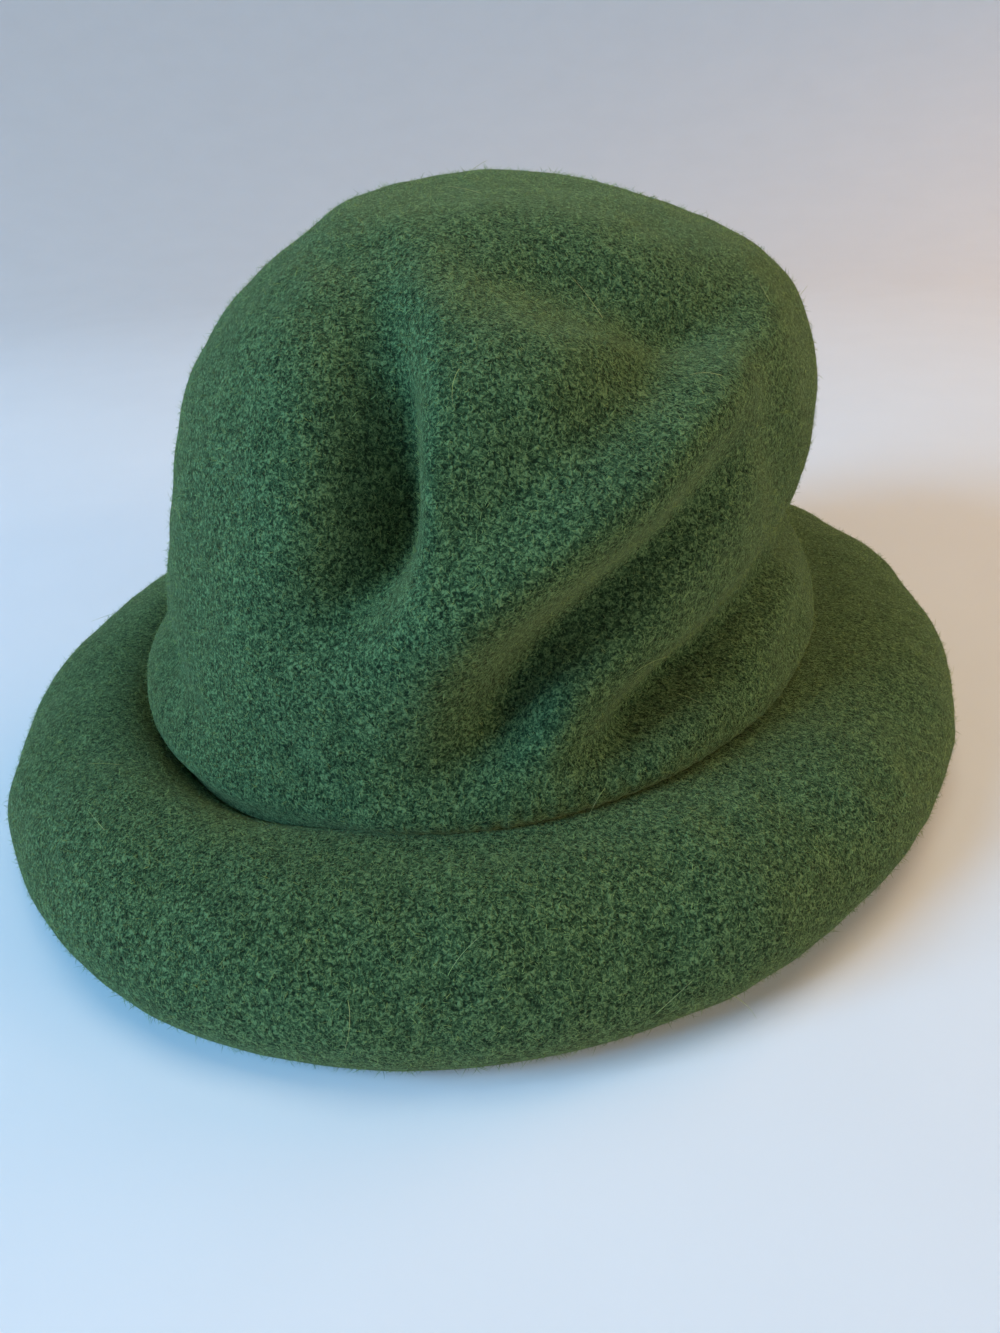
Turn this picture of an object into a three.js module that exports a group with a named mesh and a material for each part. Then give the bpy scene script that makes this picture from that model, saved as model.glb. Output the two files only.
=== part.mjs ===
// A soft felted-wool cloche hat with a rolled brim, resting on its brim.
//
// Frame: millimetres, +Z up, origin on the ground at the middle of the brim's outline.
// X runs across the head opening and Y along it, so -Y is the side the crown's folds face.
//
// The hat is two pieces of thick felt. The crown is one open dome, slumped and creased by
// handling. The brim is a hollow roll: its felt starts at the crease round the crown, goes
// out and over, comes back underneath and runs up inside the crown as a short hem. The
// crown's bottom edge stands in the slot between the brim's two ends.

import * as THREE from "three";

const MIDDLE = { x: -2.1, y: -1.8 }; // the head opening's middle: the brim reaches further right and back
const FELT = 3; // wall thickness of both pieces
const JOINT_GAP = 0.4; // clear space between the crown's wall and the start of the brim outside it
const HEM_GAP = 1; // clear space between the crown's wall and the brim's hem inside it

// Crown wall, from its hidden bottom edge up to the top of the dome. Each section is an oval.
const CROWN_SECTIONS = [
  { height: 23.5, halfWidth: 85.8, halfLength: 108.3, shiftX: 0.0, shiftY: 0.0 },
  { height: 29.0, halfWidth: 86.0, halfLength: 108.5, shiftX: 0.0, shiftY: 0.0 },
  { height: 37.0, halfWidth: 87.0, halfLength: 109.5, shiftX: 0.2, shiftY: 0.0 },
  { height: 49.0, halfWidth: 84.0, halfLength: 107.0, shiftX: 2.0, shiftY: 0.0 },
  { height: 66.0, halfWidth: 80.0, halfLength: 103.5, shiftX: 3.0, shiftY: 0.0 },
  { height: 84.0, halfWidth: 78.0, halfLength: 100.0, shiftX: 5.9, shiftY: 0.5 },
  { height: 102.0, halfWidth: 74.2, halfLength: 94.0, shiftX: 7.6, shiftY: 1.0 },
  { height: 118.0, halfWidth: 64.2, halfLength: 83.5, shiftX: 9.2, shiftY: 2.0 },
  { height: 130.0, halfWidth: 45.8, halfLength: 64.6, shiftX: 6.6, shiftY: 2.0 },
  { height: 138.0, halfWidth: 25.2, halfLength: 39.0, shiftX: 1.5, shiftY: 2.0 },
  { height: 141.5, halfWidth: 0.0, halfLength: 0.0, shiftX: 2.0, shiftY: 2.0 },
];

// Creases and dents in the crown. Each fold runs through its stations; depth is how far the
// felt is pushed in (negative: pushed out) and reach how far the dent spreads to each side.
const FOLDS = {
  pinch: [
    { azimuth: -103, height: 131, depth: 0.5, reach: 9 },
    { azimuth: -94, height: 122, depth: 3.5, reach: 9 },
    { azimuth: -89.5, height: 112, depth: 7.5, reach: 9 },
    { azimuth: -87, height: 101, depth: 11, reach: 9 },
    { azimuth: -86, height: 90, depth: 12, reach: 9 },
    { azimuth: -87, height: 81, depth: 9.5, reach: 8.5 },
    { azimuth: -93, height: 74.5, depth: 5, reach: 8.5 },
    { azimuth: -102, height: 70, depth: 1, reach: 9 },
  ],
  dish: [
    { azimuth: -80, height: 133, depth: 0.5, reach: 13 },
    { azimuth: -60, height: 130, depth: 3, reach: 15 },
    { azimuth: -46, height: 125.5, depth: 6, reach: 15.5 },
    { azimuth: -34, height: 119, depth: 5, reach: 13.5 },
    { azimuth: -20, height: 117, depth: 1, reach: 11 },
  ],
  groove: [
    { azimuth: -78, height: 82, depth: 0.5, reach: 9.5 },
    { azimuth: -71, height: 89, depth: 2, reach: 10 },
    { azimuth: -64, height: 95, depth: 3.5, reach: 10 },
    { azimuth: -56, height: 102, depth: 4, reach: 10 },
    { azimuth: -46, height: 110, depth: 3.5, reach: 10 },
    { azimuth: -33, height: 116, depth: 2.5, reach: 9 },
    { azimuth: -15, height: 119, depth: 0.5, reach: 9 },
  ],
  ridge: [
    { azimuth: -82, height: 62, depth: -1, reach: 10 },
    { azimuth: -77, height: 72, depth: -3, reach: 9.5 },
    { azimuth: -70, height: 81, depth: -4, reach: 9.5 },
    { azimuth: -63, height: 87, depth: -4, reach: 9 },
    { azimuth: -55, height: 92, depth: -4, reach: 9 },
    { azimuth: -46, height: 99, depth: -4, reach: 9 },
    { azimuth: -36, height: 107, depth: -3, reach: 9 },
    { azimuth: -22, height: 113, depth: -1, reach: 9.5 },
  ],
  slump: [
    { azimuth: -79, height: 41, depth: 0.5, reach: 7 },
    { azimuth: -73, height: 47, depth: 3.5, reach: 7.5 },
    { azimuth: -69, height: 54, depth: 7, reach: 8 },
    { azimuth: -64, height: 62, depth: 7, reach: 8 },
    { azimuth: -56, height: 70, depth: 6, reach: 8 },
    { azimuth: -49, height: 79, depth: 5, reach: 8 },
    { azimuth: -41, height: 89, depth: 3, reach: 8 },
    { azimuth: -33, height: 98, depth: 1, reach: 8 },
  ],
  waist: [
    { azimuth: -59, height: 41, depth: 0.5, reach: 6 },
    { azimuth: -53, height: 43.5, depth: 3, reach: 6.5 },
    { azimuth: -48, height: 46, depth: 5.5, reach: 7 },
    { azimuth: -41, height: 48.5, depth: 6.5, reach: 7 },
    { azimuth: -34, height: 51, depth: 6, reach: 7 },
    { azimuth: -25, height: 55, depth: 5.5, reach: 7.5 },
    { azimuth: -10, height: 58.5, depth: 4.5, reach: 7.5 },
    { azimuth: 8, height: 56, depth: 2.5, reach: 7.5 },
    { azimuth: 28, height: 52, depth: 0.5, reach: 8 },
  ],
  flank: [
    { azimuth: -25, height: 121, depth: 0.5, reach: 8 },
    { azimuth: -27, height: 110, depth: 2.5, reach: 8 },
    { azimuth: -27, height: 97, depth: 3, reach: 8 },
    { azimuth: -21, height: 80, depth: 2.5, reach: 8 },
    { azimuth: -16, height: 70, depth: 0.5, reach: 8 },
  ],
  tuck: [
    { azimuth: -205, height: 48, depth: 0.5, reach: 7 },
    { azimuth: -180, height: 48, depth: 2.5, reach: 6.5 },
    { azimuth: -150, height: 48, depth: 3, reach: 6.5 },
    { azimuth: -134, height: 47, depth: 3, reach: 6.5 },
    { azimuth: -118, height: 46, depth: 0.5, reach: 7 },
  ],
};

// The crease between crown and brim is an oval, and this is how far the brim reaches out from
// it on each side. skew is how much further than between its sides it reaches at the back
// right and the front left, and how much less at the other two corners.
const CREASE = { halfWidth: 86, halfLength: 108.5 };
const BRIM_REACH = { front: 36.4, right: 42.6, back: 40, left: 38.7, skew: 2.9 };

// Brim roll in section, from the crease over the top, round and under to the hem's edge: out
// is measured from the crease oval, away from the head, where the brim reaches SECTION_REACH.
// Between the two rows at height 0 the felt lies flat on the ground: that ring is the foot.
const SECTION_REACH = 38;
const HEM_OUT = -FELT - HEM_GAP - FELT;
const BRIM_SECTION = [
  { out: JOINT_GAP, height: 27.2 },
  { out: 7, height: 31 },
  { out: 15, height: 32 },
  { out: 25, height: 29.2 },
  { out: 33.5, height: 22.6 },
  { out: SECTION_REACH, height: 12.5 },
  { out: 35.2, height: 4 },
  { out: 27, height: 0 },
  { out: 17, height: 0 },
  { out: 6, height: 2.8 },
  { out: -3, height: 9.5 },
  { out: -6.6, height: 18.5 },
  { out: HEM_OUT, height: 35.5 },
];

const AROUND = 75; // facets round the hat
const FRONT = -62; // azimuth of the middle of the folded side, where facets are closest
const CROWDING = 0.45; // how much closer facets stand there than on average
const CROWN_STEPS = 20; // facets from the crown's edge to its top
const FOLD_SAMPLES = 60; // points that stand for each fold's line
const TINY = 1e-3; // step for slopes

const radians = THREE.MathUtils.degToRad;

// Azimuth of facet i, with more facets on the folded side.
function azimuthOf(i) {
  const even = radians(FRONT) + (2 * Math.PI * i) / AROUND;
  return even - CROWDING * Math.sin(even - radians(FRONT));
}

// A row of a table at t from 0 to 1, on a smooth curve through all of its rows.
// before and after are the rows that would stand past each end.
function rowAt(table, t, before, after) {
  const spans = table.length - 1;
  const at = Math.min(Math.max(t * spans, 0), spans - 1e-9);
  const i = Math.floor(at);
  const u = at - i;
  const [p0, p1, p2, p3] = [table[i - 1] ?? before, table[i], table[i + 1], table[i + 2] ?? after];
  const blend = (a, b, c, d) =>
    0.5 * (2 * b + (c - a) * u + (2 * a - 5 * b + 4 * c - d) * u * u + (3 * b - a - 3 * c + d) * u ** 3);
  return Object.fromEntries(
    Object.keys(p1).map((key) => [key, blend(p0[key], p1[key], p2[key], p3[key])]),
  );
}

function pastEnd(end, next) {
  return Object.fromEntries(Object.keys(end).map((key) => [key, 2 * end[key] - next[key]]));
}

const CROWN_BELOW = pastEnd(CROWN_SECTIONS[0], CROWN_SECTIONS[1]);
// Past the top the dome comes down again on the far side, which keeps the top round.
const beyondTop = CROWN_SECTIONS[CROWN_SECTIONS.length - 2];
const CROWN_ABOVE = {
  ...beyondTop,
  halfWidth: -beyondTop.halfWidth,
  halfLength: -beyondTop.halfLength,
};

// The undented crown: t is 0 at the bottom edge and 1 at the top.
function smoothCrown(azimuth, t) {
  const s = rowAt(CROWN_SECTIONS, t, CROWN_BELOW, CROWN_ABOVE);
  return new THREE.Vector3(
    MIDDLE.x + s.shiftX + s.halfWidth * Math.cos(azimuth),
    MIDDLE.y + s.shiftY + s.halfLength * Math.sin(azimuth),
    s.height,
  );
}

function outward(surface, azimuth, t) {
  if (t > 1 - TINY) return new THREE.Vector3(0, 0, 1);
  const here = surface(azimuth, t);
  const along = surface(azimuth + TINY, t).sub(here);
  const up = surface(azimuth, t + TINY).sub(here);
  return along.cross(up).normalize();
}

// t at which the undented crown has a height, by halving.
function levelOf(height) {
  let low = 0;
  let high = 1;
  for (let i = 0; i < 30; i += 1) {
    const middle = (low + high) / 2;
    if (rowAt(CROWN_SECTIONS, middle, CROWN_BELOW, CROWN_ABOVE).height < height) low = middle;
    else high = middle;
  }
  return low;
}

// Each fold's line as points on the undented crown, with its depth and reach there.
const foldLines = Object.values(FOLDS).map((stations) => {
  const before = pastEnd(stations[0], stations[1]);
  const after = pastEnd(stations[stations.length - 1], stations[stations.length - 2]);
  return Array.from({ length: FOLD_SAMPLES }, (_, i) => {
    const s = rowAt(stations, i / (FOLD_SAMPLES - 1), before, after);
    const point = smoothCrown(radians(s.azimuth), levelOf(s.height));
    return { point, depth: s.depth, reach: s.reach };
  });
});

// How far the folds push the felt in at a point: each fold counts by its nearest stretch,
// fading as a bell curve with the distance from its line.
function dentAt(point) {
  let total = 0;
  for (const line of foldLines) {
    let strongest = 0;
    for (const s of line) {
      const fade = Math.exp(-point.distanceToSquared(s.point) / (s.reach * s.reach));
      if (Math.abs(s.depth * fade) > Math.abs(strongest)) strongest = s.depth * fade;
    }
    total += strongest;
  }
  return total;
}

// The crown as it lies: the smooth dome with its folds pushed in.
function crownOutside(azimuth, t) {
  const point = smoothCrown(azimuth, t);
  return point.addScaledVector(outward(smoothCrown, azimuth, t), -dentAt(point));
}

function crownInside(azimuth, t) {
  return crownOutside(azimuth, t).addScaledVector(outward(crownOutside, azimuth, t), -FELT);
}

// A closed skin through rings of points. Each end is either a single point or joins the
// other end, as the rim of a wall does.
function skin(rings) {
  const positions = rings.flat().flatMap((p) => p.toArray());
  const starts = [];
  let count = 0;
  for (const ring of rings) {
    starts.push(count);
    count += ring.length;
  }
  const faces = [];
  for (let r = 0; r < rings.length; r += 1) {
    const next = (r + 1) % rings.length;
    const [a, b] = [rings[r], rings[next]];
    if (a.length === 1 && b.length === 1) continue;
    const around = Math.max(a.length, b.length);
    for (let i = 0; i < around; i += 1) {
      const j = (i + 1) % around;
      const a0 = starts[r] + (a.length === 1 ? 0 : i);
      const a1 = starts[r] + (a.length === 1 ? 0 : j);
      const b0 = starts[next] + (b.length === 1 ? 0 : i);
      const b1 = starts[next] + (b.length === 1 ? 0 : j);
      if (a0 !== a1) faces.push(a0, a1, b1);
      if (b0 !== b1) faces.push(a0, b1, b0);
    }
  }
  const geometry = new THREE.BufferGeometry();
  geometry.setAttribute("position", new THREE.Float32BufferAttribute(positions, 3));
  geometry.setIndex(faces);
  geometry.computeVertexNormals();
  return geometry;
}

const azimuths = Array.from({ length: AROUND }, (_, i) => azimuthOf(i));

function crownGeometry() {
  const ring = (surface, t) => (t === 1 ? [surface(0, 1)] : azimuths.map((a) => surface(a, t)));
  const steps = Array.from({ length: CROWN_STEPS + 1 }, (_, i) => i / CROWN_STEPS);
  const outside = steps.map((t) => ring(crownOutside, t));
  const inside = steps.map((t) => ring(crownInside, t)).reverse();
  return skin([...outside, ...inside]);
}

// A point out from the crease oval along its own outward direction.
function besideCrease(azimuth, out, height) {
  const x = MIDDLE.x + CREASE.halfWidth * Math.cos(azimuth);
  const y = MIDDLE.y + CREASE.halfLength * Math.sin(azimuth);
  const away = new THREE.Vector2(
    Math.cos(azimuth) / CREASE.halfWidth,
    Math.sin(azimuth) / CREASE.halfLength,
  ).normalize();
  return new THREE.Vector3(x + out * away.x, y + out * away.y, height);
}

// The brim's section at an azimuth. What lies outside the joint is stretched to the reach
// there, which goes smoothly from each side's reach to the next.
function sectionAt(azimuth) {
  const { front, right, back, left, skew } = BRIM_REACH;
  const reach =
    (front + right + back + left) / 4 +
    ((right + left - front - back) / 4) * Math.cos(2 * azimuth) +
    ((right - left) / 2) * Math.cos(azimuth) +
    ((back - front) / 2) * Math.sin(azimuth) +
    skew * Math.sin(2 * azimuth);
  return BRIM_SECTION.map(({ out, height }) => {
    return { out: out > JOINT_GAP ? (out * reach) / SECTION_REACH : out, height };
  });
}

// A section's points moved to the felt's other face, across the way that the section runs.
function otherFace(section) {
  return section.map(({ out, height }, i) => {
    const back = section[Math.max(i - 1, 0)];
    const ahead = section[Math.min(i + 1, section.length - 1)];
    const run = new THREE.Vector2(ahead.out - back.out, ahead.height - back.height).normalize();
    return { out: out + FELT * run.y, height: height - FELT * run.x };
  });
}

function brimGeometry() {
  const walls = azimuths.map((azimuth) => {
    const section = sectionAt(azimuth);
    // Taken from the hem outwards, so that the faces point out of the felt.
    const around = [...section, ...otherFace(section).reverse()].reverse();
    return around.map((s) => besideCrease(azimuth, s.out, s.height));
  });
  return skin(walls[0].map((_, row) => walls.map((wall) => wall[row])));
}

const crownFelt = new THREE.MeshStandardMaterial({ color: 0x3f6b4b, roughness: 0.95, metalness: 0 });
const brimFelt = new THREE.MeshStandardMaterial({ color: 0x3d6a48, roughness: 0.95, metalness: 0 });

const crown = new THREE.Mesh(crownGeometry(), crownFelt);
crown.name = "crown";
const brim = new THREE.Mesh(brimGeometry(), brimFelt);
brim.name = "brim";

const hat = new THREE.Group();
hat.add(crown, brim);

export default hat;
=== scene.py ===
"""Looks of a felted-wool cloche hat with a rolled brim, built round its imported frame.

Tables are in the hat's own millimetres. One factor, taken from the frame, turns them to metres.
"""

import bpy
import numpy as np
from bpy.props import FloatProperty, FloatVectorProperty, IntProperty, PointerProperty
from mathutils import Matrix, Vector


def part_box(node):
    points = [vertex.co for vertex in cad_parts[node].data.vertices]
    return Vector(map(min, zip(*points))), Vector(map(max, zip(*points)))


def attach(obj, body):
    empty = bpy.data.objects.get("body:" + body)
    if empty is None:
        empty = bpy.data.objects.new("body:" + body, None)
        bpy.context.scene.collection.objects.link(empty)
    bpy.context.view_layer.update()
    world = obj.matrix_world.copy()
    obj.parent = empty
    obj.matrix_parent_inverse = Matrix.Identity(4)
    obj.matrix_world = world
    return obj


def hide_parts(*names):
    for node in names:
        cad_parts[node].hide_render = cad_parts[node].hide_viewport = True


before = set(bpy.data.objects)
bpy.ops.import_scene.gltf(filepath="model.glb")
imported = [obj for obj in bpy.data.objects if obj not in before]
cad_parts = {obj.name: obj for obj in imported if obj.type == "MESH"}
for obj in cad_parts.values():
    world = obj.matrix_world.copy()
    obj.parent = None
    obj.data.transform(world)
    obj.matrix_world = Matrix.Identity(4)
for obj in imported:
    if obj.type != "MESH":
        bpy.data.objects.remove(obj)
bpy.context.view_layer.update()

bl_info = {
    "name": "Felt Cloche Hat",
    "version": (1, 0, 0),
    "blender": (4, 5, 0),
    "location": "3D View > Sidebar > Hat",
    "description": "Makes a soft felted-wool cloche hat with a rolled brim",
    "category": "Add Mesh",
}


# ---- The hat's shape: short tables with named columns ------------------------------------


def table(columns, *rows):
    """Rows under named columns, as one array for each column."""
    return dict(zip(columns.split(), np.array(rows, float).T))


# The head opening's middle, from the origin: the brim reaches further right and back.
MIDDLE_X, MIDDLE_Y = -2.1, -1.8

# The crown's wall from its hidden bottom edge to the top, as ovals.
CROWN = table(
    "height half_width half_length shift_x shift_y",
    (23.5, 85.8, 108.3, 0, 0),
    (29, 86, 108.5, 0, 0),
    (37, 87, 109.5, 0.2, 0),
    (49, 84, 107, 2, 0),
    (66, 80, 103.5, 3, 0),
    (84, 78, 100, 5.9, 0.5),
    (102, 74.2, 94, 7.6, 1),
    (118, 64.2, 83.5, 9.2, 2),
    (130, 45.8, 64.6, 6.6, 2),
    (138, 25.2, 39, 1.5, 2),
    (141.5, 0, 0, 2, 2),
)

# Creases and dents. depth is how far the felt is pushed in (negative: out). left and right
# are how far the dent spreads to each side of its line, for someone who walks along it.
FOLD_COLUMNS = "azimuth height depth left right"
FOLDS = {
    "pinch": table(
        FOLD_COLUMNS,
        (-103, 131, 1, 9, 9),
        (-95, 123, 6, 7, 11),
        (-89.5, 113, 12, 5, 12),
        (-87, 102, 17, 4, 12.5),
        (-86, 91, 19, 4, 12.5),
        (-87, 82, 15, 4.5, 12),
        (-92, 75, 8, 7, 10),
        (-101, 70, 2.5, 9, 9),
        (-108, 67, 0.5, 9, 9),
    ),
    "dish": table(
        FOLD_COLUMNS,
        (-84, 132, 0.5, 12, 14),
        (-66, 129, 5, 12, 16),
        (-50, 125, 8, 12, 17),
        (-38, 120, 7.5, 12, 15),
        (-22, 117, 1, 10, 12),
    ),
    "groove": table(
        FOLD_COLUMNS,
        (-78, 84, 0.5, 9, 8),
        (-71, 91.5, 2, 9.5, 7),
        (-64, 97, 3.2, 10, 7),
        (-56, 103.5, 4, 10, 7),
        (-46, 111, 4.4, 10, 7),
        (-34, 117, 3, 10, 7.5),
        (-16, 120, 0.5, 10, 8),
    ),
    "ridge": table(
        FOLD_COLUMNS,
        (-83, 60, -1, 10, 10),
        (-78, 69, -4, 10, 10),
        (-71, 78, -6, 9, 10.5),
        (-63, 86, -6.5, 9, 11),
        (-55, 92, -6.5, 9, 11),
        (-46, 99, -6.2, 9, 11),
        (-37, 106, -4.5, 9.5, 11),
        (-26, 112, -2, 10, 11),
        (-14, 115, -0.3, 10, 11),
    ),
    "slump": table(
        FOLD_COLUMNS,
        (-78, 41, 0.5, 8, 6),
        (-72, 47, 5, 9, 6),
        (-67.5, 54, 11, 10, 5),
        (-63, 62, 11.5, 10, 4.5),
        (-56, 70, 9.5, 10, 5),
        (-49, 79, 7.5, 9, 5.5),
        (-41, 89, 5, 9, 6.5),
        (-33, 98, 1, 8, 8),
    ),
    "waist": table(
        FOLD_COLUMNS,
        (-59, 41, 0.5, 7, 4.5),
        (-53, 43.5, 6, 8, 4.2),
        (-48, 46, 11.5, 9, 4),
        (-41, 48.5, 13, 9, 4),
        (-34, 51, 11.5, 9, 4.5),
        (-25, 55, 9.5, 9, 5),
        (-10, 58.5, 7, 9, 5.5),
        (8, 56, 4, 8, 7),
        (28, 52, 0.5, 8, 8),
    ),
    "flank": table(
        FOLD_COLUMNS,
        (-25, 121, 0.5, 9, 9),
        (-27, 110, 1.5, 9, 9),
        (-27, 97, 2, 9, 9),
        (-21, 80, 1.8, 9, 9),
        (-16, 70, 0.5, 9, 9),
    ),
    "tuck": table(
        FOLD_COLUMNS,
        (-205, 48, 0.5, 7, 7),
        (-180, 48, 3, 7, 5.5),
        (-150, 48, 3.8, 7, 5),
        (-134, 47, 3.8, 7, 5),
        (-118, 46, 0.5, 7, 7),
    ),
    "overhang": table(
        FOLD_COLUMNS,
        (-215, 37, -0.3, 5, 5),
        (-190, 36, -2.6, 5, 4.5),
        (-165, 35, -2.8, 5, 4.5),
        (-140, 34, -2.6, 5, 4.5),
        (-115, 33.5, -2.2, 5, 4.5),
        (-95, 33, -0.3, 5, 5),
    ),
    "flare": table(
        FOLD_COLUMNS,
        (-97, 36, -0.3, 7, 4),
        (-80, 35.5, -2.4, 7, 4),
        (-45, 35.5, -3, 7, 4),
        (-10, 35.5, -3, 7, 4),
        (30, 35.5, -2.4, 7, 4),
        (60, 36, -0.3, 7, 4),
    ),
}

# The crease between crown and brim is an oval, and the brim reaches this far out from it.
# SKEW is how much further it reaches at the back right and front left than between its sides.
CREASE_HALF_WIDTH, CREASE_HALF_LENGTH = 86, 108.5
FRONT_REACH, RIGHT_REACH, BACK_REACH, LEFT_REACH, SKEW = 36.4, 42.6, 40, 38.7, 2.9

# How far the brim's start rises from its section on the flush side, and on the sunk side.
FLUSH_MIDDLE, FLUSH, SUNK = np.radians(-20), 4.5, -1.2

# The brim's roll in section, from the crease over the top, round and under to the hem's
# edge: out is measured from the crease oval, where the brim reaches SECTION_REACH.
SECTION_REACH = 38
BRIM = table(
    "out height",
    (0.4, 27.2),
    (7, 31),
    (15, 32),
    (25, 29.2),
    (33.5, 22.6),
    (SECTION_REACH, 12.5),
    (35.2, 4),
    (27, 0),
    (17, 0),
    (6, 2.8),
    (-3, 9.5),
    (-6.6, 18.5),
    (-7, 35.5),
)

# Each felt's unevenness: how long its lumps are, how far they swell, and the seed of each.
LUMP_COLUMNS = "size swell seed"
CROWN_LUMPS = table(LUMP_COLUMNS, (34, 0.45, 3), (13, 0.18, 4))
BRIM_LUMPS = table(LUMP_COLUMNS, (42, 0.5, 7), (15, 0.2, 8))

# Where the crown's even bottom edge gives way to its uneven side, and over what height.
EVEN_EDGE, EDGE_BLEND = 30, 12

# Shares of the brim's section, from the crease: the part that swells, and the parts that
# carry nap and stray hairs. The rest lies underneath.
SWELLING_SHARE, NAPPED_SHARE, HAIRY_SHARE = 0.62, 0.6, 0.55

# The side that the folds are on, where the grid's columns stand closest together.
FOLDED_SIDE, CROWDING = np.radians(-70), 0.42

# How far across a fold's line its left reach blends into its right one.
REACH_BLEND = 1.5

# The stage's soft square lights: where each stands, how wide it is and its colour.
LIGHTS = {
    "window": ((-1.1, -0.95, 0.8), 0.7, "#86caff"),
    "ceiling": ((0, 0, 1.7), 0.9, "#fffbe6"),
    "room": ((1.4, -0.2, 0.6), 0.7, "#ffdfae"),
    "lamp": ((0.8, 1.0, 1.2), 0.9, "#ffc286"),
}
AIR_COLOUR = "#fff3e2"

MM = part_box("crown")[1][2] / CROWN["height"][-1]  # one of the tables' millimetres, in metres
TINY = 1e-9


# ---- Curves and fields over whole arrays ---------------------------------------------------


def spline(rows, t, before=None, after=None):
    """Rows of a table at t from 0 to 1, on the smooth curve through them all.

    Formula: between two rows, a cubic whose slope at each row is half the step between the
    rows on either side of it. Past an end, the row that would stand there mirrors its
    neighbour, unless before or after gives it.
    """
    t = np.asarray(t, float)
    made = {}
    for name, column in rows.items():
        first = 2 * column[0] - column[1] if before is None else before[name]
        last = 2 * column[-1] - column[-2] if after is None else after[name]
        full = np.concatenate([[first], column, [last]])
        at = np.clip(t * (len(column) - 1), 0, len(column) - 1 - TINY)
        i = at.astype(int)
        u = at - i
        a, b, c, d = full[i], full[i + 1], full[i + 2], full[i + 3]
        made[name] = 0.5 * (
            2 * b + (c - a) * u + (2 * a - 5 * b + 4 * c - d) * u**2 + (3 * b - a - 3 * c + d) * u**3
        )
    return made


def crown_rows(t):
    """The crown's ovals at t. Past the top they mirror, which keeps the top round."""
    mirror = {name: column[-2] for name, column in CROWN.items()}
    mirror["half_width"] *= -1
    mirror["half_length"] *= -1
    return spline(CROWN, t, after=mirror)


def smooth_crown(azimuth, t):
    """The undented crown: at each t, an oval with that row's half sizes, shift and height."""
    s = crown_rows(t)
    x = MIDDLE_X + s["shift_x"] + s["half_width"] * np.cos(azimuth)
    y = MIDDLE_Y + s["shift_y"] + s["half_length"] * np.sin(azimuth)
    return np.stack([x, y, s["height"] + 0 * azimuth], -1)


def unit(v):
    """Vectors at unit length."""
    return v / np.maximum(np.linalg.norm(v, axis=-1, keepdims=True), TINY)


def facing(grid):
    """Outward directions of a grid of points (row, round, xyz).

    Formula: the step round the hat crossed with the step along the section, at unit length.
    The round direction wraps, so its ends are differenced across the join.
    """
    along = np.roll(grid, -1, 1) - np.roll(grid, 1, 1)
    up = np.gradient(grid, axis=0)
    return unit(np.cross(along, up))


def fold_line(stations, samples=70):
    """Points on the undented crown along a fold, with the way it runs and its right side."""
    s = spline(stations, np.linspace(0, 1, samples))
    level = np.linspace(0, 1, 4000)
    azimuth = np.radians(s["azimuth"])
    t = np.interp(s["height"], crown_rows(level)["height"], level)
    point = smooth_crown(azimuth, t)
    step = 1e-3
    outward = unit(np.cross(
        smooth_crown(azimuth + step, t) - point,
        smooth_crown(azimuth, np.minimum(t + step, 1)) - point,
    ))
    right = unit(np.cross(np.gradient(point, axis=0), outward))
    return point, right, s


def dents(points):
    """How far the folds push the felt in at each point.

    Formula: each fold counts by the strongest of its samples, depth times a bell curve of the
    distance. The bell's reach goes smoothly from its left value to its right value across
    the fold's line. The folds add up.
    """
    flat = points.reshape(-1, 3)
    total = np.zeros(len(flat))
    for stations in FOLDS.values():
        line, right, s = fold_line(stations)
        gap2 = (flat**2).sum(1)[:, None] - 2 * flat @ line.T + (line**2).sum(1)
        side = flat @ right.T - (line * right).sum(1)
        share = 0.5 + 0.5 * np.tanh(side / REACH_BLEND)
        reach = s["left"] + (s["right"] - s["left"]) * share
        push = s["depth"] * np.exp(-np.maximum(gap2, 0) / reach**2)
        strongest = np.abs(push).argmax(1)
        total += push[np.arange(len(flat)), strongest]
    return total.reshape(points.shape[:-1])


def unevenness(points, size, seed, waves=28):
    """A soft random field from about -1 to 1, with lumps of the given size in millimetres.

    Formula: a sum of plane waves in random directions with random phases, over its spread.
    """
    rng = np.random.default_rng(seed)
    direction = unit(rng.normal(size=(waves, 3))) * (2 * np.pi / size)
    direction *= rng.uniform(0.7, 1.4, (waves, 1))
    phase = rng.uniform(0, 2 * np.pi, waves)
    return np.sin(points @ direction.T + phase).sum(-1) / np.sqrt(waves)


def swelling(points, lumps):
    """How far a felt swells out at each point: the sum of its sizes of lumps."""
    rows = zip(lumps["size"], lumps["swell"], lumps["seed"].astype(int))
    return sum(swell * unevenness(points, size, seed) for size, swell, seed in rows)


# ---- The two felts -------------------------------------------------------------------------


def round_azimuths(count):
    """Azimuths round the hat, closest together on the folded side.

    Formula: even steps, each moved back by a share of the sine of its distance from
    the folded side's middle.
    """
    even = FOLDED_SIDE + np.linspace(0, 2 * np.pi, count, endpoint=False)
    return even - CROWDING * np.sin(even - FOLDED_SIDE)


def crown_outside(azimuth, t):
    """The crown as it lies: the smooth dome, dented by its folds and a little uneven."""
    grid = smooth_crown(azimuth[None, :], t[:, None])
    outward = facing(grid)
    outward[-1] = (0, 0, 1)
    soft = np.clip((grid[..., 2] - EVEN_EDGE) / EDGE_BLEND, 0, 1)
    swell = soft * swelling(grid, CROWN_LUMPS)
    return grid + outward * (swell - dents(grid))[..., None]


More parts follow.
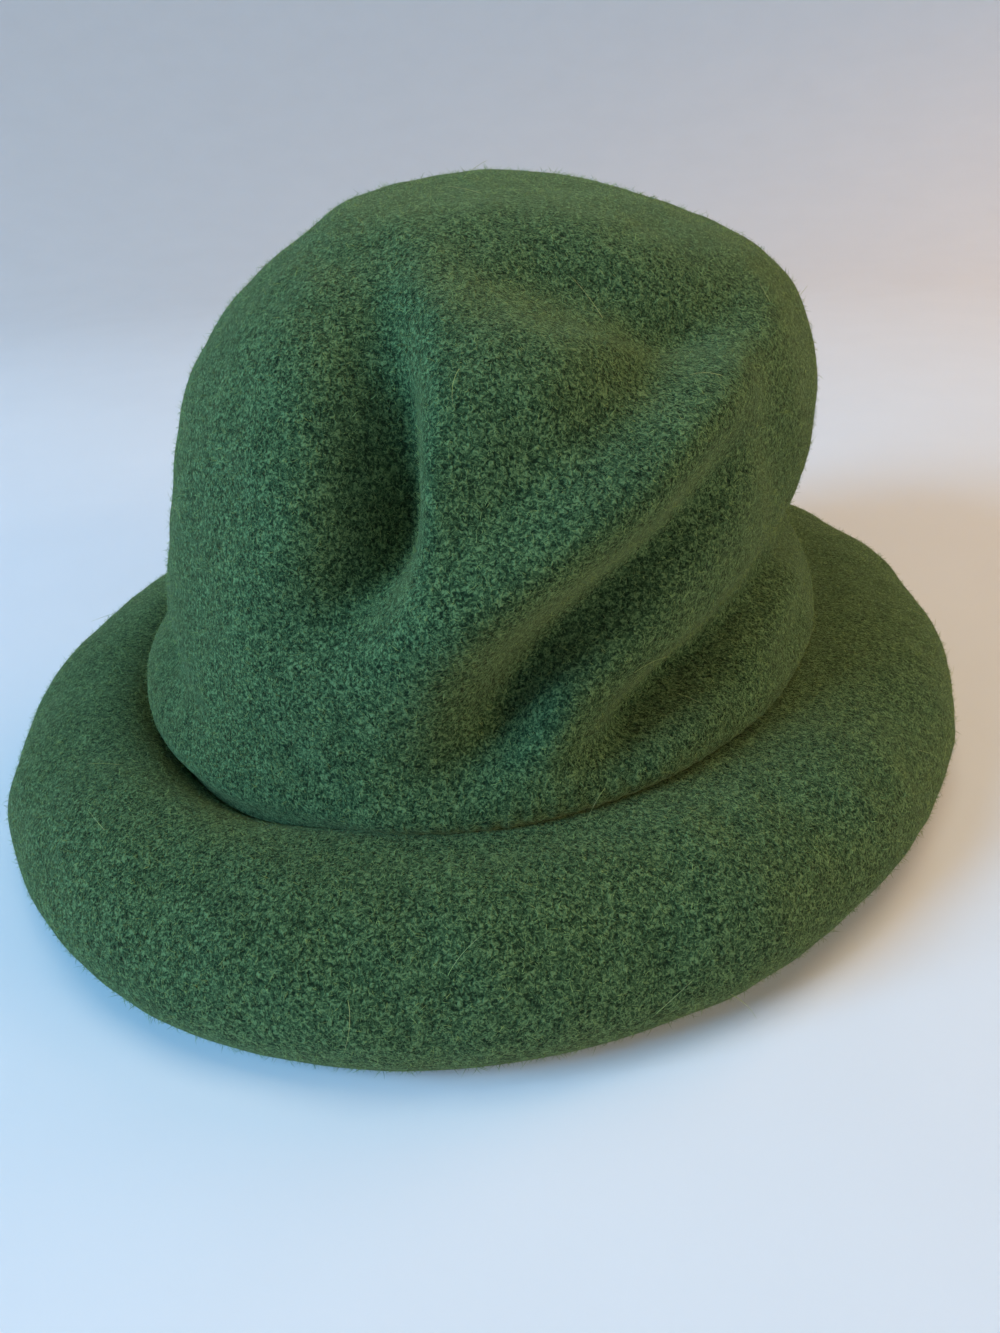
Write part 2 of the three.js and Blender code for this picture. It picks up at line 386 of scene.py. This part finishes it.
def crown_skins(sizes):
    """Outside and inside grids of the crown.

    The inside stands off by the felt's thickness, and has every other row where they are even.
    """
    azimuth = round_azimuths(sizes.around)
    outside = crown_outside(azimuth, np.linspace(0, 1, sizes.crown_steps + 1))
    outward = facing(outside)
    outward[-1] = (0, 0, 1)
    inside = outside - outward * sizes.felt / MM
    every = 2 if sizes.crown_steps % 2 == 0 else 1
    return outside, inside[::every]


def beside_crease(azimuth, out, height):
    """Points a distance out from the crease oval, along that oval's own outward direction."""
    x = MIDDLE_X + CREASE_HALF_WIDTH * np.cos(azimuth)
    y = MIDDLE_Y + CREASE_HALF_LENGTH * np.sin(azimuth)
    away = unit(np.stack([
        np.cos(azimuth) / CREASE_HALF_WIDTH, np.sin(azimuth) / CREASE_HALF_LENGTH,
    ], -1))
    return np.stack([x + out * away[:, 0], y + out * away[:, 1], height], -1)


def brim_stretch(azimuth):
    """The brim's reach at an azimuth, over its section's.

    Formula: the four sides' reaches, blended smoothly by cosines from each to the next, and
    the skew times the sine of twice the azimuth.
    """
    around = FRONT_REACH + RIGHT_REACH + BACK_REACH + LEFT_REACH
    sideways = RIGHT_REACH + LEFT_REACH - FRONT_REACH - BACK_REACH
    reach = (
        around / 4 + sideways / 4 * np.cos(2 * azimuth) + SKEW * np.sin(2 * azimuth)
        + (RIGHT_REACH - LEFT_REACH) / 2 * np.cos(azimuth)
        + (BACK_REACH - FRONT_REACH) / 2 * np.sin(azimuth)
    )
    return reach / SECTION_REACH


def crease_fill(azimuth):
    """How much higher the brim starts at the crease than its section: it lies flush against
    the crown on the right and sinks away from it on the left.

    Formula: a smooth step across the cosine of the distance from the flush side's middle.
    """
    flush = 0.5 + 0.5 * np.tanh((np.cos(azimuth - FLUSH_MIDDLE) - 0.2) / 0.15)
    return SUNK + (FLUSH - SUNK) * flush


def brim_skins(sizes):
    """Outside and inside grids of the brim's roll.

    Formula: the section's curve, stretched to the brim's reach outside the crease, carried
    round the crease oval. The inside stands off by the felt's thickness. The roll swells a
    little unevenly, least at the crease and the hem, and lies flat on the ground.
    """
    azimuth = round_azimuths(sizes.around)
    t = np.linspace(0, 1, sizes.brim_steps + 1)
    s = spline(BRIM, t)
    height = np.maximum(s["height"], 0)[:, None] + 0 * azimuth
    out = s["out"][:, None]
    near_crease = np.exp(-((out / 6) ** 2)) * (t < 0.3)[:, None]
    out = out * np.where(out > BRIM["out"][0], brim_stretch(azimuth), 1)
    height = height + crease_fill(azimuth) * near_crease
    run = unit(np.stack([np.gradient(out, axis=0), np.gradient(height, axis=0)], -1))
    thick = sizes.felt / MM
    outside = beside_crease(azimuth, out, height)
    inside = beside_crease(azimuth, out + thick * run[..., 1], height - thick * run[..., 0])
    share = np.sin(np.pi * np.clip(t / SWELLING_SHARE, 0, 1)) ** 1.5
    swell = share[:, None] * swelling(outside, BRIM_LUMPS)
    outward = -facing(outside)
    for grid in (outside, inside):
        grid += outward * swell[..., None]
        grid[..., 2] = np.maximum(grid[..., 2], 0)
    return outside, inside


def closed_wall(first, second, pointed):
    """Vertices and quads of a wall between two grids, closed at both ends.

    Formula: the first grid's rings followed by the second's in reverse, each ring joined to
    the next and the last to the first. With pointed, both grids end in one point at the top.
    """
    around = first.shape[1]
    if pointed:
        tops = np.stack([first[-1].mean(0), second[-1].mean(0)])
        first, second = first[:-1], second[:-1]
    rings = np.concatenate([first, second[::-1]])
    count, rows = len(rings), len(first)
    i = np.arange(around)
    j = (i + 1) % around
    at = np.arange(count)[:, None] * around
    beyond = (np.arange(count) + 1)[:, None] % count * around
    quads = np.stack([at + i, at + j, beyond + j, beyond + i], -1)
    if not pointed:
        return rings.reshape(-1, 3), quads.reshape(-1, 4), np.zeros((0, 3), int)
    keep = np.arange(count) != rows - 1
    top, under = count * around, count * around + 1
    last, start = (rows - 1) * around, rows * around
    caps = np.concatenate([
        np.stack([last + i, last + j, 0 * i + top], -1),
        np.stack([start + j, start + i, 0 * i + under], -1),
    ])
    return np.concatenate([rings.reshape(-1, 3), tops]), quads[keep].reshape(-1, 4), caps


def mesh_piece(name, points, faces, material, node=None):
    """A smooth mesh from points in the tables' millimetres, riding on the hat's one body."""
    mesh = bpy.data.meshes.new(name)
    mesh.from_pydata((points * MM).tolist(), [], faces)
    mesh.polygons.foreach_set("use_smooth", np.ones(len(mesh.polygons), bool))
    mesh.materials.append(material)
    mesh.update()
    piece = bpy.data.objects.new(name, mesh)
    bpy.context.scene.collection.objects.link(piece)
    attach(piece, "root")
    if node:
        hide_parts(node)


# ---- The nap: fibres that stand from the felt ----------------------------------------------


def roots_on(grid, count, rng, lowest):
    """Random points on a grid's surface, evenly by area, with the way out and one way along.

    Formula: a cell is drawn with a chance equal to its share of the area, then a point in it
    by two random shares of its sides.
    """
    right = np.roll(grid, -1, 1)[:-1]
    here, above, corner = grid[:-1], grid[1:], np.roll(grid, -1, 1)[1:]
    area = np.linalg.norm(np.cross(right - here, above - here), axis=-1)
    area = area * (here[..., 2] > lowest)
    cell = rng.choice(area.size, count, p=(area / area.sum()).ravel())
    u, v = rng.random((2, count, 1))
    a, b, c, d = (q.reshape(-1, 3)[cell] for q in (here, right, above, corner))
    point = (1 - u) * (1 - v) * a + u * (1 - v) * b + (1 - u) * v * c + u * v * d
    outward = unit(np.cross(b - a, c - a))
    return point, outward, unit(b - a)


def fibres(root, outward, along, length, thick, lift, bend, joints, rng):
    """Closed three-sided fibres, each tapering to a point.

    Formula: a fibre leaves its root in a random direction, lifted out of the felt by the
    given share, and turns steadily sideways and back down by the given bend.
    """
    count = len(root)
    turn = rng.uniform(0, 2 * np.pi, (count, 1))
    across = np.cross(outward, along)
    flat = along * np.cos(turn) + across * np.sin(turn)
    side = np.cross(outward, flat)
    start = unit(flat + outward * lift)
    s = np.linspace(0, 1, joints + 1)[None, :, None]
    curl = bend * rng.uniform(-1, 1, (count, 1, 1))
    droop = bend * rng.uniform(0, 0.5, (count, 1, 1))
    path = root[:, None] - 0.15 * outward[:, None] + length[:, None, None] * (
        s * start[:, None] + s**2 * (curl * side[:, None] - droop * outward[:, None] * lift[:, None])
    )
    other = unit(np.cross(start, side))
    corners = np.radians([0, 120, 240])[None, :, None]
    rim = np.cos(corners) * unit(side)[:, None] + np.sin(corners) * other[:, None]
    width = thick[:, None, None, None] * (1 - 0.6 * s[..., None])[:, :-1]
    body = path[:, :-1, None] + width / 2 * rim[:, None]
    points = np.concatenate([body.reshape(count, -1, 3), path[:, -1:]], 1)
    each = points.shape[1]
    k = np.arange(3)
    n = (k + 1) % 3
    row = 3 * np.arange(joints - 1)[:, None]
    sides = np.concatenate([
        np.stack([row + k, row + n, row + 3 + n], -1),
        np.stack([row + k, row + 3 + n, row + 3 + k], -1),
    ]).reshape(-1, 3)
    last = 3 * (joints - 1)
    tip = np.stack([last + k, last + n, 0 * k + each - 1], -1)
    one = np.concatenate([sides, tip, [[2, 1, 0]]])
    faces = one[None] + each * np.arange(count)[:, None, None]
    return points.reshape(-1, 3), faces.reshape(-1, 3)


def nap(grid, count, longest, thick, seed, joints, lowest):
    """A coat of fibres over one felt, from short and low to long and upright."""
    rng = np.random.default_rng(seed)
    root, outward, along = roots_on(grid, count, rng, lowest)
    length = longest * rng.uniform(0.35, 1, count) ** 1.5
    lift = rng.uniform(0.15, 1.5, (count, 1)) ** 1.3
    points, faces = fibres(
        root, outward, along, length, thick * rng.uniform(0.7, 1.2, count), lift, 0.45, joints, rng
    )
    points[:, 2] = np.maximum(points[:, 2], 0.2)
    return points, faces


# ---- Materials -----------------------------------------------------------------------------


def linear(hex_colour):
    """Linear red, green and blue of an sRGB hex colour."""
    s = np.array([int(hex_colour[i:i + 2], 16) for i in (1, 3, 5)]) / 255
    return tuple(np.where(s <= 0.04045, s / 12.92, ((s + 0.055) / 1.055) ** 2.4).tolist())


def add(tree, kind, links=(), stops=(), **settings):
    """Adds a node and returns it.

    links pair an input socket with the output that feeds it, settings name the node's
    properties or, failing that, its inputs, and stops are a colour ramp's places and colours.
    """
    made = tree.nodes.new(kind)
    for name, value in settings.items():
        if hasattr(made, name):
            setattr(made, name, value)
        else:
            made.inputs[name.replace("_", " ").title()].default_value = value
    for socket, output in dict(links).items():
        tree.links.new(output, made.inputs[socket])
    for i, (place, colour) in enumerate(stops):
        stop = made.color_ramp.elements[i] if i < 2 else made.color_ramp.elements.new(place)
        stop.position, stop.color = place, (*colour, 1)
    return made


def grain_scale(size_mm):
    """Noise scale on Object coordinates for grain of a real size in millimetres."""
    return 1 / (size_mm * 0.001)


def fulled_wool_felt(name, colours, grain=0.6):
    """Fulled wool felt: a dense mat of short crimped fibres, with dark pits between them, whose darkness
    in the colour is painted shade, and lighter tips, which are painted highlight.

    The eye sees a fine even stipple rather than a weave, a soft mottle where the dye took
    unevenly, and a pale edge where light passes along the standing fibres.
    """
    material = bpy.data.materials.new(name)
    material.use_nodes = True
    tree = material.node_tree
    shader = tree.nodes["Principled BSDF"]
    place = add(tree, "ShaderNodeTexCoord").outputs["Object"]
    # crimped fibres and the pits between them, about as wide as the felt's real grain; the same field
    # feeds the bump and the colour's painted shade and painted highlight
    stipple = add(tree, "ShaderNodeTexNoise", {"Vector": place}, scale=grain_scale(grain),
                  detail=2.5, roughness=0.6, distortion=0.9).outputs["Fac"]
    # clumps of fibres that fulling drew together
    clumps = add(tree, "ShaderNodeTexNoise", {"Vector": place}, scale=grain_scale(1.6),
                 detail=1.0, roughness=0.5, distortion=0.5).outputs["Fac"]
    # dye that took unevenly
    mottle = add(tree, "ShaderNodeTexNoise", {"Vector": place}, scale=grain_scale(22),
                 detail=2.0, roughness=0.5).outputs["Fac"]
    mat = add(tree, "ShaderNodeMix", {"A": stipple, "B": clumps}, data_type="FLOAT",
              factor=0.2).outputs["Result"]
    # the grain's colour: the darkest stop is painted shade between the fibres, the lightest is painted
    # highlight on them, and the middle stop is the felt's own green
    colour = add(tree, "ShaderNodeValToRGB", {"Fac": mat}, stops=(
        (0.38, colours.pit_shade), (0.5, colours.body), (0.63, colours.tip),
    )).outputs["Color"]
    shift = add(tree, "ShaderNodeValToRGB", {"Fac": mottle}, stops=(
        (0.35, (0.95, 0.96, 0.97)), (0.65, (1.0, 1.0, 0.98)),
    )).outputs["Color"]
    dyed = add(tree, "ShaderNodeMixRGB", {"Color1": colour, "Color2": shift},
               blend_type="MULTIPLY", fac=1.0)
    bump = add(tree, "ShaderNodeBump", {"Height": mat}, strength=1.0, distance=0.0008)
    tree.links.new(dyed.outputs["Color"], shader.inputs["Base Color"])
    tree.links.new(bump.outputs["Normal"], shader.inputs["Normal"])
    shader.inputs["Roughness"].default_value = 0.96
    shader.inputs["Specular IOR Level"].default_value = 0.1
    shader.inputs["Sheen Weight"].default_value = 0.6
    shader.inputs["Sheen Roughness"].default_value = 0.3
    shader.inputs["Sheen Tint"].default_value = (*colours.sheen, 1)
    return material


def crimped_wool_fibre(name, low, high):
    """Single crimped wool fibres: thin dyed strands that look paler than the mat they leave,
    because light comes through them."""
    material = bpy.data.materials.new(name)
    material.use_nodes = True
    tree = material.node_tree
    shader = tree.nodes["Principled BSDF"]
    place = add(tree, "ShaderNodeTexCoord").outputs["Object"]
    # each strand takes a little more or less dye than the next
    strand = add(tree, "ShaderNodeTexNoise", {"Vector": place}, scale=grain_scale(1.6),
                 detail=1.0).outputs["Fac"]
    colour = add(tree, "ShaderNodeValToRGB", {"Fac": strand},
                 stops=((0.35, low), (0.7, high))).outputs["Color"]
    tree.links.new(colour, shader.inputs["Base Color"])
    shader.inputs["Roughness"].default_value = 0.8
    shader.inputs["Specular IOR Level"].default_value = 0.2
    return material


def pale_paint(name, colour):
    """Matt wall paint on the stage: pale, with a barely uneven tone from the roller."""
    material = bpy.data.materials.new(name)
    material.use_nodes = True
    tree = material.node_tree
    shader = tree.nodes["Principled BSDF"]
    place = add(tree, "ShaderNodeTexCoord").outputs["Object"]
    # the roller's uneven tone
    tone = add(tree, "ShaderNodeTexNoise", {"Vector": place}, scale=grain_scale(60),
               detail=2.0).outputs["Fac"]
    darker = [0.98 * channel for channel in colour]
    paint = add(tree, "ShaderNodeValToRGB", {"Fac": tone},
                stops=((0.3, darker), (0.7, colour))).outputs["Color"]
    tree.links.new(paint, shader.inputs["Base Color"])
    shader.inputs["Roughness"].default_value = 0.6
    return material


# ---- What a user may change ----------------------------------------------------------------


def colour_property(name, description, hex_colour):
    """A colour that a user may change, with its default as a hex colour."""
    return FloatVectorProperty(name=name, description=description, default=linear(hex_colour),
                               size=3, min=0, max=1, subtype="COLOR")


class HatSizes(bpy.types.PropertyGroup):
    """Sizes of the felt and its nap."""

    felt: FloatProperty(name="Felt", description="Thickness of the felt", default=0.003,
                        min=0.001, max=0.005, unit="LENGTH")
    around: IntProperty(name="Around", description="Faces round the hat", default=360, min=48)
    crown_steps: IntProperty(name="Crown steps", description="Faces up the crown", default=140, min=20)
    brim_steps: IntProperty(name="Brim steps", description="Faces along the brim's section",
                            default=72, min=20)
    nap_length: FloatProperty(name="Nap", description="Length of the longest nap fibres",
                              default=0.0026, min=0, unit="LENGTH")
    fibre: FloatProperty(name="Fibre", description="Thickness that a nap fibre is drawn at",
                         default=0.00011, min=0.00002, unit="LENGTH")
    nap_count: IntProperty(name="Nap fibres", description="Curled nap fibres on each felt",
                           default=14000, min=0)
    fuzz_length: FloatProperty(name="Fuzz", description="Length of the longest fuzz fibres",
                               default=0.0017, min=0, unit="LENGTH")
    fuzz_count: IntProperty(name="Fuzz fibres", description="Short straight fibres on each felt",
                            default=46000, min=0)
    stray_count: IntProperty(name="Stray hairs", description="Long loose hairs on the hat",
                             default=70, min=0)


class HatColours(bpy.types.PropertyGroup):
    """Colours of the dyed wool and of the stage."""

    # The first and third colours here are painted shade between the felt's fibres and painted highlight on
    # them. The third also colours the nap fibres.
    pit_shade: colour_property("Pit", "Shade between the felt's fibres", "#142413")
    body: colour_property("Body", "The felt's main green", "#374f30")
    tip: colour_property("Tip", "Fibres that catch the light", "#688152")
    sheen: colour_property("Sheen", "Light passing along the nap", "#a3ac70")
    fibre: colour_property("Fibre", "Nap fibres with light through them", "#9aae62")
    stray: colour_property("Stray", "Long undyed hairs", "#a8a373")
    floor: colour_property("Floor", "The stage's paint", "#e6e8ea")


class HatStage(bpy.types.PropertyGroup):
    """The camera and the lights."""

    heading: FloatProperty(name="Heading", description="Turn of the camera to the left of +Y",
                           default=np.radians(17.0), subtype="ANGLE")
    tilt: FloatProperty(name="Tilt", description="How far the camera looks down",
                        default=np.radians(29.7), subtype="ANGLE")
    roll: FloatProperty(name="Roll", description="Lean of the camera about its own view",
                        default=np.radians(-2.9), subtype="ANGLE")
    lens: FloatProperty(name="Lens", description="Focal length on a 36 mm sensor",
                        default=24.95, min=5, unit="CAMERA")
    place: FloatVectorProperty(name="Place", description="The camera's position", size=3,
                               default=(0.07135, -0.23847, 0.14805), subtype="TRANSLATION", unit="LENGTH")
    window: FloatProperty(name="Window", description="Power of the cool light", default=36,
                          min=0, unit="POWER")
    ceiling: FloatProperty(name="Ceiling", description="Power of the light from above", default=7.2,
                           min=0, unit="POWER")
    room: FloatProperty(name="Room", description="Power of the light off the room", default=8.5,
                        min=0, unit="POWER")
    lamp: FloatProperty(name="Lamp", description="Power of the warm light behind", default=9,
                        min=0, unit="POWER")
    air: FloatProperty(name="Air", description="Strength of the light from all round", default=0.03, min=0)


# ---- Operators: one for each piece or group of like pieces, and one for the stage ----------


class HAT_OT_stage(bpy.types.Operator):
    """Sets up the camera, the pale floor and the soft lights"""

    bl_idname = "hat.stage"
    bl_label = "Stage"

    def execute(self, context):
        stage, colours = context.scene.hat_stage, context.scene.hat_colours
        camera = bpy.data.objects.new("camera", bpy.data.cameras.new("camera"))
        camera.data.lens = stage.lens
        camera.data.sensor_width = 36
        camera.data.clip_start = 0.005
        camera.matrix_world = (
            Matrix.Translation(stage.place)
            @ Matrix.Rotation(stage.heading, 4, "Z")
            @ Matrix.Rotation(np.pi / 2 - stage.tilt, 4, "X")
            @ Matrix.Rotation(stage.roll, 4, "Z")
        )
        context.scene.collection.objects.link(camera)
        context.scene.camera = camera
        self.floor(context, pale_paint("matt_pale_paint", colours.floor))
        for name, (place, width, hex_colour) in LIGHTS.items():
            self.light(context, name, place, width, getattr(stage, name), hex_colour)
        world = bpy.data.worlds.new("air")
        world.use_nodes = True
        sky = world.node_tree.nodes["Background"]
        sky.inputs["Color"].default_value = (*linear(AIR_COLOUR), 1)
        sky.inputs["Strength"].default_value = stage.air
        context.scene.world = world
        context.scene.view_settings.view_transform = "Standard"
        return {"FINISHED"}

    def floor(self, context, paint):
        """A flat floor whose far edge curves up, as a surface of revolution: level out to
        the flat radius, then a quarter circle up to the wall."""
        flat, bend, wall, around, rows_in_bend = 0.9, 1.3, 0.6, 96, 32
        arc = np.linspace(0, np.pi / 2, rows_in_bend)
        radius = np.concatenate([[0.02, flat / 2], flat + bend * np.sin(arc), [flat + bend]])
        height = np.concatenate([[0, 0], bend * (1 - np.cos(arc)), [bend + wall]])
        turn = np.linspace(0, 2 * np.pi, around, endpoint=False)
        rings = np.stack([
            radius[:, None] * np.cos(turn), radius[:, None] * np.sin(turn), height[:, None] + 0 * turn,
        ], -1)
        i, row = np.arange(around), np.arange(len(radius) - 1)[:, None] * around
        j = (i + 1) % around
        quads = np.stack([row + i, row + j, row + around + j, row + around + i], -1).reshape(-1, 4)
        quads = quads[:, ::-1].tolist() + [i.tolist()]
        mesh = bpy.data.meshes.new("floor")
        mesh.from_pydata(rings.reshape(-1, 3).tolist(), [], quads)
        mesh.polygons.foreach_set("use_smooth", np.ones(len(mesh.polygons), bool))
        mesh.materials.append(paint)
        floor = bpy.data.objects.new("floor", mesh)
        context.scene.collection.objects.link(floor)

    def light(self, context, name, place, width, power, hex_colour):
        """A square soft light that faces the hat's middle."""
        data = bpy.data.lights.new(name, "AREA")
        data.size, data.energy, data.color = width, power, linear(hex_colour)
        lamp = bpy.data.objects.new(name, data)
        lamp.location = place
        aim = Vector((0, 0, 0.06)) - Vector(place)
        lamp.rotation_euler = aim.to_track_quat("-Z", "Y").to_euler()
        context.scene.collection.objects.link(lamp)


class HAT_OT_felts(bpy.types.Operator):
    """Makes the crown and the brim, the hat's two pieces of felt"""

    bl_idname = "hat.felts"
    bl_label = "Crown and brim"

    def execute(self, context):
        sizes, colours = context.scene.hat_sizes, context.scene.hat_colours
        for name, node, skins, pointed in (
            ("crown_felt", "crown", crown_skins, True),
            ("brim_felt", "brim", brim_skins, False),
        ):
            outside, inside = skins(sizes)
            points, quads, caps = closed_wall(outside, inside, pointed)
            faces = quads.tolist() + caps.tolist()
            if node == "brim":  # its section runs the other way round, so its faces turn over
                faces = [face[::-1] for face in faces]
            felt = fulled_wool_felt(f"fulled_wool_felt_{node}", colours)
            mesh_piece(name, points, faces, felt, node)
        return {"FINISHED"}


class HAT_OT_nap(bpy.types.Operator):
    """Makes the coats of fibres on each felt: a short fuzz and a longer curled nap"""

    bl_idname = "hat.nap"
    bl_label = "Nap"

    def execute(self, context):
        sizes, colours = context.scene.hat_sizes, context.scene.hat_colours
        wool = crimped_wool_fibre("crimped_wool_fibre", colours.tip, colours.fibre)
        crown = crown_skins(sizes)[0]
        brim = brim_skins(sizes)[0][: int(sizes.brim_steps * NAPPED_SHARE), ::-1]
        coats = (
            ("nap", sizes.nap_count, sizes.nap_length, 2),
            ("fuzz", sizes.fuzz_count, sizes.fuzz_length, 1),
        )
        for felt, grid, lowest, seed in (("crown", crown, 34, 11), ("brim", brim, 1.5, 12)):
            for coat, count, longest, joints in coats:
                points, faces = nap(grid, count, longest / MM, sizes.fibre / MM, seed, joints, lowest)
                mesh_piece(f"{felt}_{coat}", points, faces.tolist(), wool)
        return {"FINISHED"}


class HAT_OT_stray_hairs(bpy.types.Operator):
    """Makes the few long pale hairs that lie loose on the felt"""

    bl_idname = "hat.stray_hairs"
    bl_label = "Stray hairs"

    def execute(self, context):
        sizes, colours = context.scene.hat_sizes, context.scene.hat_colours
        wool = crimped_wool_fibre("undyed_wool_hair", colours.fibre, colours.stray)
        rng = np.random.default_rng(21)
        parts, start = [], 0
        brim = brim_skins(sizes)[0][: int(sizes.brim_steps * HAIRY_SHARE), ::-1]
        grids = (crown_skins(sizes)[0], brim)
        for grid, lowest in zip(grids, (36, 6)):
            count = sizes.stray_count // 2
            root, outward, along = roots_on(grid, count, rng, lowest)
            points, faces = fibres(
                root + 0.3 * outward, outward, along, rng.uniform(4, 11, count), np.full(count, 0.12),
                rng.uniform(0.1, 0.5, (count, 1)), 0.5, 10, rng,
            )
            parts.append((points, faces + start))
            start += len(points)
        points, faces = (np.concatenate(part) for part in zip(*parts))
        mesh_piece("stray_hairs", points, faces.tolist(), wool)
        return {"FINISHED"}


class HAT_PT_panel(bpy.types.Panel):
    """The hat's pieces, sizes and colours"""

    bl_label = "Felt Cloche Hat"
    bl_idname = "HAT_PT_panel"
    bl_space_type = "VIEW_3D"
    bl_region_type = "UI"
    bl_category = "Hat"

    def draw(self, context):
        for operator in OPERATORS:
            self.layout.operator(operator.bl_idname)
        for name in SETTINGS:
            group = getattr(context.scene, name)
            for setting in group.bl_rna.properties:
                if setting.identifier not in {"rna_type", "name"}:
                    self.layout.prop(group, setting.identifier)


SETTINGS = {"hat_sizes": HatSizes, "hat_colours": HatColours, "hat_stage": HatStage}
OPERATORS = (HAT_OT_stage, HAT_OT_felts, HAT_OT_nap, HAT_OT_stray_hairs)
CLASSES = (*SETTINGS.values(), *OPERATORS, HAT_PT_panel)


def register():
    for made in CLASSES:
        bpy.utils.register_class(made)
    for name, group in SETTINGS.items():
        setattr(bpy.types.Scene, name, PointerProperty(type=group))


def unregister():
    for name in SETTINGS:
        delattr(bpy.types.Scene, name)
    for made in reversed(CLASSES):
        bpy.utils.unregister_class(made)


def main():
    register()
    bpy.ops.hat.stage()
    bpy.ops.hat.felts()
    bpy.ops.hat.nap()
    bpy.ops.hat.stray_hairs()


if __name__ == "__main__":
    main()
